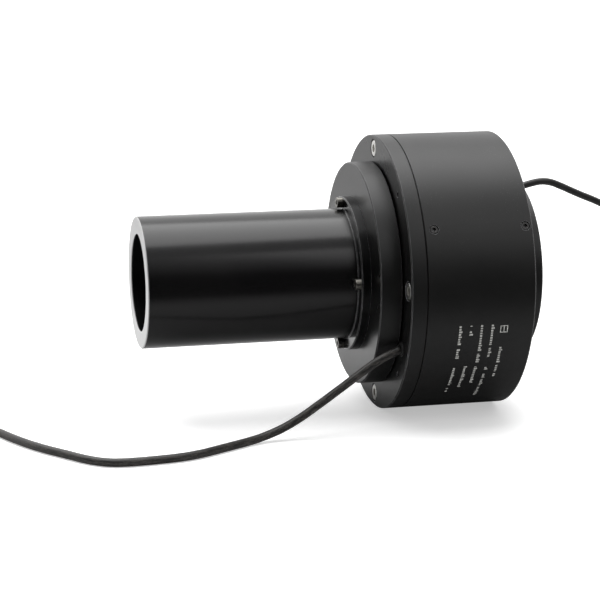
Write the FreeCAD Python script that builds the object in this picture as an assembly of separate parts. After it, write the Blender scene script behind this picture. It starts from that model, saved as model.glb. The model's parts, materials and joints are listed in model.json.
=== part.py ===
"""A through-bore electrical slip ring with a front extension tube.

Frame, in millimetres: X runs along the bore, from the tube's free end towards the rear of the
housing. Z is up. The origin is the centre of the mounting flange's front face, on the bore's axis.
Angles go round the bore from -Y, positive towards +Z. A radius is measured from the bore's axis.

The stator is the flange, the housing, the rear cover and the brush gear. The rotor is the tube, its
hub, the shaft, the stack of contact rings and the rear collar, and it turns on two ball bearings.
"""

import FreeCAD, Part
import math
import os

# ---- overall sizes
BORE_D = 50.0              # the clear hole right through
TUBE_WALL = 9.0            # extension tube's wall
TUBE_LENGTH = 108.0        # extension tube, in front of its own foot flange
HOUSING_D = 144.0          # flange and housing
FLANGE_T = 8.3             # mounting flange, as seen from the side
HOUSING_LENGTH = 56.3      # housing behind the flange
HUB_D = 116.0              # stepped disc in front of the flange
HUB_T = 11.5
REAR_COLLAR_D = 92.4
REAR_COLLAR_T = 12.4

# ---- gaps and fits
SEAT = 0.02                # radial room of parts that sit in each other and don't move
RACE_GAP = 0.05            # between a ball and its race groove
CAGE_GAP = 0.10            # between a ball and its cage pocket
END_GAP = 0.5              # hub to flange, and collar to cover
EDGE = 0.5                 # chamfer on outside edges
SEAM = 0.3                 # relief on each side of the flange's joint line
SEAM_DEPTH = 0.7

# ---- foot flange of the tube
FOOT_RIM = 6.2             # how far it stands out from the tube
FOOT_T = 5.0
PILOT_RIM = 2.5            # wall of the tube's pilot
PILOT_L = 3.0

# ---- rotor shaft
SHAFT_WALL = 5.0
SHOULDER_RIM = 3.0         # shoulder that the front bearing's inner race meets
SHAFT_FLANGE_RIM = 6.0     # flange that the hub is screwed to
SHAFT_FLANGE_T = 5.0
CHANNEL_W = 8.0            # wire channel along the top of the shaft
CHANNEL_DEPTH = 2.5

# ---- bearings, thin section
BEARING_SECTION = 9.0      # radial height
BEARING_W = 10.0
BALL_D = 5.2
BALLS = 20
RACE_LIP = 2.7             # radial thickness of a race beside its groove
CAGE_T = 2.0
CAGE_W = 8.0
LIP_T = 3.0                # wall in front of the front bearing
REAR_LIP_T = 2.6           # wall behind the rear bearing
LIP_RIM = 1.5              # how far a lip covers the outer race
SEAL_GAP = 0.35            # a seal's running gap to the rotor
CIRCLIP_T = 1.2
CIRCLIP_DEPTH = 1.2        # groove depth
CIRCLIP_RIM = 2.2          # how far it stands in over the outer race
CIRCLIP_ROOM = 0.1
BOSS_WALL = 7.0            # round each bearing seat
BOSS_END = 0.8             # boss beyond the circlip

# ---- contact rings
RINGS = 6
RING_W = 2.6
RING_H = 6.0
GROOVE_DEPTH = 1.0         # groove that the brush wires run in
GROOVE_FLOOR = 1.0
BARRIER_W = 1.8
BARRIER_RIM = 2.0          # insulating discs stand out this far past the rings
CORE_WALL = 6.0            # insulating sleeve under the rings
CORE_NOSE = 3.0
CORE_FLANGE_T = 2.0
LOCK_RING_T = 4.0
LOCK_RING_RIM = 4.0        # past the sleeve
SPACER_WALL = 2.7

# ---- brush gear
BLOCK_GAP = 2.0            # from the insulating discs to a brush block
BLOCK_H = 5.0
BLOCK_W = 18.0
BLOCK_MARGIN = 0.6         # block past the first and last ring
BAR_H = 5.0
BAR_W = 9.0
BAR_ANGLES = (147.5, 267.5)
FRAME_GAP = 0.2            # flange's spigot to the brush frame
FRAME_T = 5.5
BRUSH_D = 0.6
BRUSH_GAP = 0.05           # running gap that stands for the sliding contact
BRUSH_PAST = 3.0           # brush wire past the place where it touches
BRUSH_SPREAD = 7.0         # from a block's middle to its brushes and pins
BRUSH_SUNK = 2.0           # brush wire inside its block
PIN_D = 1.0
PIN_H = 2.6

# ---- housing
FRONT_WALL = 12.0          # housing wall where the flange screws go in
FRONT_RING_L = 12.0
MIDDLE_WALL = 10.0
REAR_WALL = 8.0            # round the rear cover
COVER_T = 8.0
SPIGOT_L = 3.0
ORING_D = 0.9
ORING_GROOVE_W = 1.3
ORING_GROOVE_DEPTH = 0.92

# ---- screws: thread diameter, head diameter, head height, length, key, key depth
M5_CAP = (5.0, 8.5, 5.0, 16.0, 4.0, 2.5)
M3_FOOT = (3.0, 5.5, 3.0, 10.0, 2.5, 1.5)
M3_CAP = (3.0, 5.5, 3.0, 6.2, 2.5, 1.5)
M25_CAP = (2.5, 4.5, 2.2, 8.0, 2.0, 1.2)
M25_LONG = (2.5, 4.5, 2.5, 12.8, 2.0, 1.3)
M25_SHORT = (2.5, 4.5, 2.5, 7.9, 2.0, 1.3)
HEAD_ROOM = 0.6            # radial room round a sunk head
RADIAL_ROOM = 0.12         # the same for the screws through the housing's side
THREAD_ROOM = 0.02
SCREW_PHASE = 2.5          # angle of the first flange screw and tube screw
FLANGE_SCREW_INSET = 7.0   # flange screws, in from the housing's outside
M5_SUNK = 5.1
M3_SUNK = 3.1
RADIAL_SUNK = 2.8
MOUNT_HOLE_D = 3.0
MOUNT_HOLE_L = 7.0
RADIAL_PHASE = 27.5        # angle of the first screw through the housing's side
FRAME_SCREW_BACK = 5.1     # behind the flange's joint line
COVER_SCREW_IN = 3.7       # in from the housing's rear end
SET_SCREW_D = 5.0
SET_SCREW_KEY = 2.5
SET_SCREW_BACK = 5.4       # in from the collar's rear face
SET_SCREW_SHORT = 0.3      # below the surface at both ends

# ---- leads
STATOR_LEAD_D = 4.3
STATOR_LEAD_ANGLE = -28.0
STATOR_LEAD_OFF = 4.0      # lead's axis outside the hub
ROTOR_LEAD_D = 3.8
ROTOR_LEAD_IN = 4.2        # lead's axis inside the collar's rim
ROTOR_LEAD_ANGLE = 90.0
GROMMET_WALL = 1.0
GROMMET_LIP = 0.6
GROMMET_LIP_T = 0.8
POCKET_W = 8.0             # wire pocket inside the rear collar
POCKET_X = 2.0
POCKET_L = 6.4
POCKET_H = 14.0
WIRE_D = 1.0
WIRE_PITCH = 1.25
HARNESS_D = 2.8
HARNESS_R_IN = 2.2         # harness's axis inside the housing's middle bore
NOTCH_R = 4.0              # passage for the harness in the housing's front ring
NOTCH_L = 22.0
TAIL_D = 1.0
TAIL_L = 16.0
TAIL_CIRCLE = 1.25

# The stator lead drops from the flange to the surface that the housing rests on, and lies there.
STATOR_ROUTE = [
    (-10.0, -54.8, -32.6),
    (-23.0, -55.2, -41.2),
    (-40.0, -55.8, -52.9),
    (-58.0, -56.6, -64.4),
    (-74.0, -58.6, -69.8),
    (-92.0, -69.0, -69.8),
    (-112.0, -80.6, -69.8),
    (-132.0, -83.4, -69.8),
    (-150.0, -83.8, -69.8),
    (-161.0, -76.6, -69.8),
    (-171.0, -63.6, -69.8),
    (-182.0, -50.0, -69.8),
    (-192.0, -33.5, -69.8),
    (-202.0, -12.0, -69.8),
    (-212.0, 4.0, -69.8),
    (-224.0, 14.0, -69.8),
    (-234.5, 17.5, -69.8),
]
# The rotor lead leaves the rear collar, arches over and hangs down to the same surface.
ROTOR_ROUTE = [
    (85.0, 0.0, 43.7),
    (91.5, 0.3, 44.9),
    (97.5, 0.6, 44.2),
    (104.5, 0.8, 41.2),
    (114.0, 1.0, 36.8),
    (125.0, 1.2, 32.4),
    (137.0, 2.0, 26.0),
    (147.5, 4.0, 13.5),
    (154.5, 7.0, -3.0),
    (158.0, 11.0, -21.5),
    (160.0, 17.0, -39.5),
    (161.5, 26.0, -55.5),
    (164.0, 39.0, -67.0),
    (169.5, 55.5, -70.05),
    (181.5, 69.5, -70.05),
    (199.5, 71.5, -70.05),
    (214.0, 60.5, -70.05),
    (217.5, 43.0, -70.05),
    (209.0, 27.5, -70.05),
    (193.0, 19.5, -70.05),
]

# ---- places worked out from the sizes above
BORE_R = BORE_D / 2
HOUSING_R = HOUSING_D / 2
HUB_R = HUB_D / 2
COLLAR_R = REAR_COLLAR_D / 2
TUBE_R = BORE_R + TUBE_WALL
FOOT_R = TUBE_R + FOOT_RIM
PILOT_R = BORE_R + PILOT_RIM
SHAFT_R = BORE_R + SHAFT_WALL
SHOULDER_R = SHAFT_R + SHOULDER_RIM
SHAFT_FLANGE_R = SHAFT_R + SHAFT_FLANGE_RIM
SEAT_R = SHAFT_R + BEARING_SECTION
PITCH_R = SHAFT_R + BEARING_SECTION / 2
INNER_RACE_R = SHAFT_R + RACE_LIP
OUTER_RACE_R = SEAT_R - RACE_LIP
LIP_R = SEAT_R - LIP_RIM
SEAL_R = SHOULDER_R + SEAL_GAP
BOSS_R = SEAT_R + BOSS_WALL
CORE_R = SHAFT_R + CORE_WALL
RING_R = CORE_R + RING_H
BARRIER_R = RING_R + BARRIER_RIM
BLOCK_R = BARRIER_R + BLOCK_GAP
BAR_R = BLOCK_R + BLOCK_H
BAR_TOP_R = BAR_R + BAR_H
FRONT_BORE_R = HOUSING_R - FRONT_WALL
MIDDLE_BORE_R = HOUSING_R - MIDDLE_WALL
REAR_BORE_R = HOUSING_R - REAR_WALL
FLANGE_SCREW_R = HOUSING_R - FLANGE_SCREW_INSET
TUBE_SCREW_R = TUBE_R + M3_FOOT[1] / 2 + HEAD_ROOM
HUB_SCREW_R = PILOT_R + M3_CAP[1] / 2 + HEAD_ROOM + 0.6
STATOR_LEAD_R = HUB_R + STATOR_LEAD_OFF
ROTOR_LEAD_R = COLLAR_R - ROTOR_LEAD_IN

HUB_X1 = -END_GAP
HUB_X0 = HUB_X1 - HUB_T
FOOT_X0 = HUB_X0 - FOOT_T
TUBE_X0 = FOOT_X0 - TUBE_LENGTH
PILOT_X1 = HUB_X0 + PILOT_L
SHAFT_X0 = HUB_X1 - SHAFT_FLANGE_T
FRONT_BEARING_X = LIP_T
FRONT_BEARING_X1 = FRONT_BEARING_X + BEARING_W
FRONT_CLIP_X = FRONT_BEARING_X1 + CIRCLIP_ROOM
FRONT_BOSS_X1 = FRONT_CLIP_X + CIRCLIP_T + BOSS_END
CORE_FLANGE_X = FRONT_BEARING_X1 + CORE_NOSE
STACK_X = CORE_FLANGE_X + CORE_FLANGE_T
RING_PITCH = RING_W + BARRIER_W
LOCK_X = STACK_X + RINGS * RING_PITCH
LOCK_X1 = LOCK_X + LOCK_RING_T
HOUSING_X1 = FLANGE_T + HOUSING_LENGTH
COVER_X = HOUSING_X1 - COVER_T
REAR_BEARING_X1 = HOUSING_X1 - REAR_LIP_T
REAR_BEARING_X = REAR_BEARING_X1 - BEARING_W
REAR_CLIP_X1 = REAR_BEARING_X - CIRCLIP_ROOM
REAR_BOSS_X = REAR_CLIP_X1 - CIRCLIP_T - BOSS_END
COLLAR_X = HOUSING_X1 + END_GAP
COLLAR_X1 = COLLAR_X + REAR_COLLAR_T
SPIGOT_X1 = FLANGE_T + SPIGOT_L
FRAME_X = SPIGOT_X1 + FRAME_GAP
FRAME_X1 = FRAME_X + FRAME_T
BLOCK_X = STACK_X - BLOCK_MARGIN
BLOCK_X1 = LOCK_X - BARRIER_W + BLOCK_MARGIN
CHANNEL_X1 = COLLAR_X + POCKET_X + POCKET_L
RADIAL_ANGLES = [RADIAL_PHASE + 120 * i for i in range(3)]
FLANGE_ANGLES = [SCREW_PHASE + 90 * i for i in range(4)]
BETWEEN_ANGLES = [angle + 45 for angle in FLANGE_ANGLES]
RING_XS = [STACK_X + i * RING_PITCH + RING_W / 2 for i in range(RINGS)]

AXIS_X = FreeCAD.Vector(1, 0, 0)


# ---- helpers

def outward(angle):
    """The unit vector away from the bore at an angle."""
    a = math.radians(angle)
    return FreeCAD.Vector(0, -math.cos(a), math.sin(a))


def sideways(angle):
    """The unit vector round the bore at an angle, towards larger angles."""
    a = math.radians(angle)
    return FreeCAD.Vector(0, math.sin(a), math.cos(a))


def at(x, radius, angle, side=0.0):
    """A point by its place along the bore, radius and angle, moved sideways."""
    return AXIS_X * x + outward(angle) * radius + sideways(angle) * side


def revolved(outline):
    """A solid of revolution about the bore from (x, radius) points."""
    points = [FreeCAD.Vector(x, 0, r) for x, r in outline]
    face = Part.Face(Part.makePolygon(points + points[:1]))
    return face.revolve(FreeCAD.Vector(0, 0, 0), AXIS_X, 360)


def ring(inner, outer, x0, x1):
    return revolved([(x0, inner), (x1, inner), (x1, outer), (x0, outer)])


def rod(start, direction, radius, length):
    return Part.makeCylinder(radius, length, start, direction)


def cut_all(shape, tools):
    for tool in tools:
        shape = shape.cut(tool)
    return shape


def block(angle, x0, x1, r0, r1, width, side=0.0):
    """A box that lies along the bore at an angle, from radius r0 to r1."""
    box = Part.makeBox(x1 - x0, width, r1 - r0, FreeCAD.Vector(x0, side - width / 2, r0))
    box.rotate(FreeCAD.Vector(0, 0, 0), AXIS_X, 90 - angle)
    return box


def hexagon(flats, depth):
    """A key's hexagonal prism along +X, from the origin."""
    corner = flats / 2 / math.cos(math.pi / 6)
    steps = [math.pi / 3 * i for i in range(7)]
    points = [FreeCAD.Vector(0, corner * math.cos(a), corner * math.sin(a)) for a in steps]
    return Part.Face(Part.makePolygon(points)).extrude(AXIS_X * depth)


def placed(shape, position, direction):
    """A shape made along +X from the origin, put at a position and along a direction."""
    turn = FreeCAD.Rotation(AXIS_X, direction)
    shape.Placement = FreeCAD.Placement(position, turn)
    return shape


def cap_screw(size, position, direction):
    """A socket screw whose head's underside is at the position and whose thread goes along."""
    thread_d, head_d, head_h, length, key, key_depth = size
    head = rod(AXIS_X * -head_h, AXIS_X, head_d / 2, head_h)
    rim = head.Edges
    head = head.makeChamfer(0.3, [e for e in rim if e.BoundBox.XMax < -head_h + 0.01])
    thread = rod(FreeCAD.Vector(0, 0, 0), AXIS_X, thread_d / 2 - THREAD_ROOM, length)
    socket = hexagon(key, key_depth)
    socket.translate(AXIS_X * -head_h)
    return placed(head.fuse(thread).cut(socket).removeSplitter(), position, direction)


def screw_hole(size, position, direction, sunk, depth, room=HEAD_ROOM):
    """The space that a sunk cap screw needs: head room upwards and a hole downwards."""
    head = rod(position - direction * sunk, direction, size[1] / 2 + room, sunk)
    return head.fuse(rod(position, direction, size[0] / 2, depth))


def group(shapes):
    return Part.makeCompound(shapes)


def tube_route(points, diameter, name):
    """A round tube along straight runs joined by tangent arcs, and its length."""
    points = [FreeCAD.Vector(*p) for p in points]
    runs = [(b - a).Length for a, b in zip(points, points[1:])]
    edges = []
    here = points[0]
    length = 0.0
    radii = []
    for i in range(1, len(points) - 1):
        back = (points[i - 1] - points[i]).normalize()
        ahead = (points[i + 1] - points[i]).normalize()
        turn = math.pi - back.getAngle(ahead)
        reach = 0.45 * min(runs[i - 1], runs[i])
        radius = reach / math.tan(turn / 2)
        middle = (back + ahead).normalize()
        to_arc = radius / math.cos(turn / 2) - radius
        start = points[i] + back * reach
        end = points[i] + ahead * reach
        edges.append(Part.LineSegment(here, start).toShape())
        edges.append(Part.Arc(start, points[i] + middle * to_arc, end).toShape())
        length += (start - here).Length + radius * turn
        radii.append(radius)
        here = end
    edges.append(Part.LineSegment(here, points[-1]).toShape())
    length += (points[-1] - here).Length
    path = Part.Wire(edges)
    circle = Part.Circle(points[0], points[1] - points[0], diameter / 2)
    section = Part.Wire([circle.toShape()])
    solid = path.makePipeShell([section], True, False)
    expected = math.pi * diameter ** 2 / 4 * length
    print(f"{name}: length {length:.1f}, volume {solid.Volume:.0f} of {expected:.0f},"
          f" radii {' '.join(f'{r:.0f}' for r in radii)}")
    return solid


# ---- rotor

def foot_screw_places():
    return [at(FOOT_X0, TUBE_SCREW_R, angle) for angle in FLANGE_ANGLES]


def extension_tube():
    outline = [
        (TUBE_X0, BORE_R + EDGE), (TUBE_X0 + EDGE, BORE_R), (PILOT_X1, BORE_R),
        (PILOT_X1, PILOT_R), (HUB_X0, PILOT_R), (HUB_X0, FOOT_R), (FOOT_X0 + EDGE, FOOT_R),
        (FOOT_X0, FOOT_R - EDGE), (FOOT_X0, TUBE_R + 0.4), (FOOT_X0 - 0.4, TUBE_R),
        (TUBE_X0 + EDGE, TUBE_R), (TUBE_X0, TUBE_R - EDGE),
    ]
    holes = [
        rod(place - AXIS_X, AXIS_X, M3_FOOT[0] / 2, FOOT_T + 2) for place in foot_screw_places()
    ]
    return cut_all(revolved(outline), holes)


def tube_screws():
    return group([cap_screw(M3_FOOT, place, AXIS_X) for place in foot_screw_places()])


def hub_screw_places():
    return [at(HUB_X0 + M3_SUNK, HUB_SCREW_R, angle) for angle in BETWEEN_ANGLES]


def rotor_hub():
    pilot_r = PILOT_R + SEAT
    recess_r = SHAFT_FLANGE_R + SEAT
    outline = [
        (HUB_X0, pilot_r), (PILOT_X1, pilot_r), (PILOT_X1, BORE_R), (SHAFT_X0, BORE_R),
        (SHAFT_X0, recess_r), (HUB_X1, recess_r), (HUB_X1, HUB_R - EDGE),
        (HUB_X1 - EDGE, HUB_R), (HUB_X0 + EDGE, HUB_R), (HUB_X0, HUB_R - EDGE),
    ]
    threads = [
        rod(at(HUB_X0, TUBE_SCREW_R, angle), AXIS_X, M3_FOOT[0] / 2, SHAFT_X0 - HUB_X0 - 1)
        for angle in FLANGE_ANGLES
    ]
    holes = [
        screw_hole(M3_CAP, place, AXIS_X, M3_SUNK, HUB_T) for place in hub_screw_places()
    ]
    return cut_all(revolved(outline), threads + holes)


def hub_screws():
    return group([cap_screw(M3_CAP, place, AXIS_X) for place in hub_screw_places()])


def wire_channel():
    """The groove along the shaft that the rotor's wires lie in."""
    start = STACK_X - 1.0
    return block(ROTOR_LEAD_ANGLE, start, CHANNEL_X1, SHAFT_R - CHANNEL_DEPTH, SHAFT_R + 1, CHANNEL_W)


def set_screw_x():
    return COLLAR_X1 - SET_SCREW_BACK


def rotor_shaft():
    outline = [
        (SHAFT_X0, BORE_R), (COLLAR_X1, BORE_R), (COLLAR_X1, SHAFT_R),
        (FRONT_BEARING_X, SHAFT_R), (FRONT_BEARING_X, SHOULDER_R), (HUB_X1, SHOULDER_R),
        (HUB_X1, SHAFT_FLANGE_R), (SHAFT_X0, SHAFT_FLANGE_R),
    ]
    threads = [
        rod(at(SHAFT_X0, HUB_SCREW_R, angle), AXIS_X, M3_CAP[0] / 2, SHAFT_FLANGE_T - 1)
        for angle in BETWEEN_ANGLES
    ]
    set_holes = [
        rod(at(set_screw_x(), BORE_R - 2, angle), outward(angle), SET_SCREW_D / 2, SHAFT_WALL + 4)
        for angle in BETWEEN_ANGLES
    ]
    return cut_all(revolved(outline), threads + set_holes + [wire_channel()])


def wire_side(i):
    return (i - (RINGS - 1) / 2) * WIRE_PITCH


def core_sleeve():
    inner = SHAFT_R + SEAT
    outline = [
        (FRONT_BEARING_X1, inner), (LOCK_X, inner), (LOCK_X, CORE_R - SEAT),
        (STACK_X, CORE_R - SEAT), (STACK_X, BARRIER_R), (CORE_FLANGE_X, BARRIER_R),
        (CORE_FLANGE_X, INNER_RACE_R), (FRONT_BEARING_X1, INNER_RACE_R),
    ]
    up = outward(ROTOR_LEAD_ANGLE)
    holes = [
        rod(at(x, SHAFT_R - 1, ROTOR_LEAD_ANGLE, wire_side(i)), up, WIRE_D / 2 + SEAT, CORE_WALL + 3)
        for i, x in enumerate(RING_XS)
    ]
    return cut_all(revolved(outline), holes)


def contact_ring(x):
    """A brass ring with a tapered groove round its outside, centred at x."""
    half = RING_W / 2
    floor = GROOVE_FLOOR / 2
    floor_r = RING_R - GROOVE_DEPTH
    return revolved([
        (x - half, CORE_R), (x + half, CORE_R), (x + half, RING_R), (x + half - 0.3, RING_R),
        (x + floor, floor_r), (x - floor, floor_r), (x - half + 0.3, RING_R), (x - half, RING_R),
    ])


def barrier_discs():
    half = RING_W / 2
    return group([
        ring(CORE_R, BARRIER_R, x + half, x + half + BARRIER_W) for x in RING_XS
    ])


def stack_lock_ring():
    body = ring(SHAFT_R + SEAT, CORE_R + LOCK_RING_RIM, LOCK_X, LOCK_X1)
    slots = [
        block(angle, LOCK_X + LOCK_RING_T / 2, LOCK_X1 + 1, CORE_R + 1, CORE_R + 9, 4.0)
        for angle in BETWEEN_ANGLES
    ]
    return cut_all(body, slots)


def rear_spacer():
    return ring(SHAFT_R + SEAT, SHAFT_R + SPACER_WALL, LOCK_X1, REAR_BEARING_X)


def rear_collar():
    inner = SHAFT_R + SEAT
    outline = [
        (REAR_BEARING_X1, inner), (COLLAR_X1, inner), (COLLAR_X1, COLLAR_R - EDGE),
        (COLLAR_X1 - EDGE, COLLAR_R), (COLLAR_X + EDGE, COLLAR_R), (COLLAR_X, COLLAR_R - EDGE),
        (COLLAR_X, SHOULDER_R), (REAR_BEARING_X1, SHOULDER_R),
    ]
    set_holes = [
        rod(at(set_screw_x(), SHAFT_R - 2, angle), outward(angle), SET_SCREW_D / 2, COLLAR_R)
        for angle in BETWEEN_ANGLES
    ]
    return cut_all(revolved(outline), set_holes + [wire_pocket(SHAFT_R - 1), rotor_grommet_hole()])


def wire_pocket(floor_r, room=0.0):
    """The space inside the collar where the wires turn outwards, smaller by a room at its walls."""
    x0 = COLLAR_X + POCKET_X
    return block(ROTOR_LEAD_ANGLE, x0 + room, x0 + POCKET_L, floor_r, SHAFT_R + POCKET_H - room,
                 POCKET_W - 2 * room)


def rotor_potting():
    """Set resin that holds the wires in the collar's pocket."""
    return wire_pocket(SHAFT_R + 2 * SEAT, SEAT)


def grommet(diameter, face_x, radius, angle, outside, depth):
    """A rubber grommet round a lead, with its lip on a face whose outside is -1 or +1 along X."""
    out = AXIS_X * outside
    centre = at(face_x, radius, angle)
    body = rod(centre - out * depth, out, diameter / 2 + GROMMET_WALL, depth)
    lip = rod(centre, out, diameter / 2 + GROMMET_WALL + GROMMET_LIP, GROMMET_LIP_T)
    lip = lip.makeChamfer(0.3, [e for e in lip.Edges
                                if abs((e.BoundBox.XMax - face_x) * outside - GROMMET_LIP_T) < 0.01
                                and e.BoundBox.XLength < 0.01])
    return body.fuse(lip).removeSplitter()


def rotor_grommet_hole():
    x0 = COLLAR_X + POCKET_X + POCKET_L
    centre = at(x0 - 1, ROTOR_LEAD_R, ROTOR_LEAD_ANGLE)
    return rod(centre, AXIS_X, ROTOR_LEAD_D / 2 + GROMMET_WALL + SEAT, COLLAR_X1 - x0 + 2)


def rotor_grommet():
    depth = COLLAR_X1 - (COLLAR_X + POCKET_X + POCKET_L)
    return grommet(ROTOR_LEAD_D, COLLAR_X1, ROTOR_LEAD_R, ROTOR_LEAD_ANGLE, 1, depth)


def rotor_wire(i, x):
    """One wire from inside its ring down to the shaft's channel and back to the collar."""
    side = wire_side(i)
    edge = abs(side) + WIRE_D / 2
    top = math.sqrt(CORE_R ** 2 - edge ** 2) - SEAT
    low = SHAFT_R - CHANNEL_DEPTH / 2
    end_x = COLLAR_X + POCKET_X + POCKET_L / 2
    pocket = SHAFT_R + 2 * SEAT
    up = outward(ROTOR_LEAD_ANGLE)
    stub = rod(at(x, low, ROTOR_LEAD_ANGLE, side), up, WIRE_D / 2, top - low)
    run = rod(at(x, low, ROTOR_LEAD_ANGLE, side), AXIS_X, WIRE_D / 2, end_x - x)
    rise = rod(at(end_x, low, ROTOR_LEAD_ANGLE, side), up, WIRE_D / 2, pocket - low)
    bends = [Part.makeSphere(WIRE_D / 2, at(bx, low, ROTOR_LEAD_ANGLE, side)) for bx in (x, end_x)]
    return stub.fuse([run, rise] + bends).removeSplitter()


def rotor_wires():
    return group([rotor_wire(i, x) for i, x in enumerate(RING_XS)])


def set_screws():
    """Grub screws that lock the collar and the shaft to the customer's own shaft."""
    low = BORE_R + SET_SCREW_SHORT
    high = COLLAR_R - SET_SCREW_SHORT - 0.5
    screws = []
    for angle in BETWEEN_ANGLES:
        body = rod(FreeCAD.Vector(0, 0, 0), AXIS_X, SET_SCREW_D / 2 - THREAD_ROOM, high - low)
        body = body.cut(hexagon(SET_SCREW_KEY, 3.0))
        screws.append(placed(body, at(set_screw_x(), high, angle), outward(angle) * -1))
    return group(screws)


# ---- bearings

def race_groove(x):
    centre = FreeCAD.Vector(x + BEARING_W / 2, 0, 0)
    return Part.makeTorus(PITCH_R, BALL_D / 2 + RACE_GAP, centre, AXIS_X)


def inner_race(x):
    return ring(SHAFT_R + SEAT, INNER_RACE_R, x, x + BEARING_W).cut(race_groove(x))


def outer_race(x):
    return ring(OUTER_RACE_R, SEAT_R - SEAT, x, x + BEARING_W).cut(race_groove(x))


def ball_angles():
    return [360.0 / BALLS * i for i in range(BALLS)]


def balls(x):
    middle = x + BEARING_W / 2
    return group([Part.makeSphere(BALL_D / 2, at(middle, PITCH_R, a)) for a in ball_angles()])


def cage(x):
    middle = x + BEARING_W / 2
    body = ring(PITCH_R - CAGE_T / 2, PITCH_R + CAGE_T / 2, middle - CAGE_W / 2, middle + CAGE_W / 2)
    pocket_r = BALL_D / 2 + CAGE_GAP
    pockets = [
        rod(at(middle, PITCH_R - CAGE_T, a), outward(a), pocket_r, 2 * CAGE_T) for a in ball_angles()
    ]
    return cut_all(body, pockets)


# ---- stator

def flange_screw_places():
    return [at(M5_SUNK, FLANGE_SCREW_R, angle) for angle in FLANGE_ANGLES]


def circlip_groove(x):
    return ring(SEAT_R - 1, SEAT_R + CIRCLIP_DEPTH, x - CIRCLIP_ROOM, x + CIRCLIP_T)


def oring_groove(radius, x):
    return ring(radius - ORING_GROOVE_DEPTH, radius + 1, x, x + ORING_GROOVE_W)


def oring(radius, x):
    middle = radius - ORING_GROOVE_DEPTH / 2
    return Part.makeTorus(middle, ORING_D / 2, AXIS_X * (x + ORING_GROOVE_W / 2), AXIS_X)


def flange_oring_x():
    return FLANGE_T + (SPIGOT_L - ORING_GROOVE_W) / 2


def front_flange():
    spigot_r = FRONT_BORE_R - SEAT
    outline = [
        (0, LIP_R), (LIP_T, LIP_R), (LIP_T, SEAT_R), (FRONT_BOSS_X1, SEAT_R),
        (FRONT_BOSS_X1, BOSS_R), (SPIGOT_X1, BOSS_R), (SPIGOT_X1, spigot_r), (FLANGE_T, spigot_r),
        (FLANGE_T, HOUSING_R - SEAM_DEPTH), (FLANGE_T - SEAM, HOUSING_R - SEAM_DEPTH),
        (FLANGE_T - SEAM, HOUSING_R), (EDGE, HOUSING_R), (0, HOUSING_R - EDGE),
    ]
    screws = [
        screw_hole(M5_CAP, place, AXIS_X, M5_SUNK, FLANGE_T) for place in flange_screw_places()
    ]
    mounts = [
        rod(at(0, FLANGE_SCREW_R, angle), AXIS_X, MOUNT_HOLE_D / 2, MOUNT_HOLE_L)
        for angle in BETWEEN_ANGLES
    ]
    lead = rod(at(-1, STATOR_LEAD_R, STATOR_LEAD_ANGLE), AXIS_X,
               STATOR_LEAD_D / 2 + GROMMET_WALL + SEAT, SPIGOT_X1 + 2)
    grooves = [circlip_groove(FRONT_CLIP_X), oring_groove(spigot_r, flange_oring_x())]
    return cut_all(revolved(outline), screws + mounts + grooves + [lead])


def flange_screws():
    return group([cap_screw(M5_CAP, place, AXIS_X) for place in flange_screw_places()])


def frame_screw_places():
    x = FLANGE_T + FRAME_SCREW_BACK
    return [(at(x, HOUSING_R - RADIAL_SUNK, angle), outward(angle) * -1) for angle in RADIAL_ANGLES]


def cover_screw_places():
    x = HOUSING_X1 - COVER_SCREW_IN
    return [(at(x, HOUSING_R - RADIAL_SUNK, angle), outward(angle) * -1) for angle in RADIAL_ANGLES]


def housing_shell():
    outline = [
        (FLANGE_T, FRONT_BORE_R), (FLANGE_T + FRONT_RING_L, FRONT_BORE_R),
        (FLANGE_T + FRONT_RING_L, MIDDLE_BORE_R), (COVER_X, MIDDLE_BORE_R),
        (COVER_X, REAR_BORE_R), (HOUSING_X1, REAR_BORE_R), (HOUSING_X1, HOUSING_R - EDGE),
        (HOUSING_X1 - EDGE, HOUSING_R), (FLANGE_T + SEAM, HOUSING_R),
        (FLANGE_T + SEAM, HOUSING_R - SEAM_DEPTH), (FLANGE_T, HOUSING_R - SEAM_DEPTH),
    ]
    thread_l = M5_SUNK + M5_CAP[3] - FLANGE_T + 1
    threads = [
        rod(at(FLANGE_T, FLANGE_SCREW_R, angle), AXIS_X, M5_CAP[0] / 2, thread_l)
        for angle in FLANGE_ANGLES
    ]
    radial = [
        screw_hole(M25_LONG, place, inward, RADIAL_SUNK + 1, FRONT_WALL + 1, RADIAL_ROOM)
        for place, inward in frame_screw_places() + cover_screw_places()
    ]
    notch = rod(at(FLANGE_T, STATOR_LEAD_R, STATOR_LEAD_ANGLE), AXIS_X, NOTCH_R, NOTCH_L)
    return cut_all(revolved(outline), threads + radial + [notch])


def frame_screws():
    return group([cap_screw(M25_LONG, place, inward) for place, inward in frame_screw_places()])


def cover_screws():
    return group([cap_screw(M25_SHORT, place, inward) for place, inward in cover_screw_places()])


def cover_oring_x():
    return COVER_X + 0.6


def rear_cover():
    rim_r = REAR_BORE_R - SEAT
    outline = [
        (REAR_BOSS_X, SEAT_R), (REAR_BEARING_X1, SEAT_R), (REAR_BEARING_X1, LIP_R),
        (HOUSING_X1, LIP_R), (HOUSING_X1, rim_r - EDGE), (HOUSING_X1 - EDGE, rim_r),
        (COVER_X, rim_r), (COVER_X, BOSS_R), (REAR_BOSS_X, BOSS_R),
    ]
    threads = [
        rod(place, inward, M25_SHORT[0] / 2, M25_SHORT[3] + 1) for place, inward in cover_screw_places()
    ]
    clip_groove = circlip_groove(REAR_CLIP_X1 - CIRCLIP_T + CIRCLIP_ROOM)
    return cut_all(revolved(outline), threads + [clip_groove, oring_groove(rim_r, cover_oring_x())])


def seal(x0, x1):
    """A thin rubber ring in a lip, with a running gap to the rotor."""
    return ring(SEAL_R, LIP_R - SEAT, x0, x1)


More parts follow.
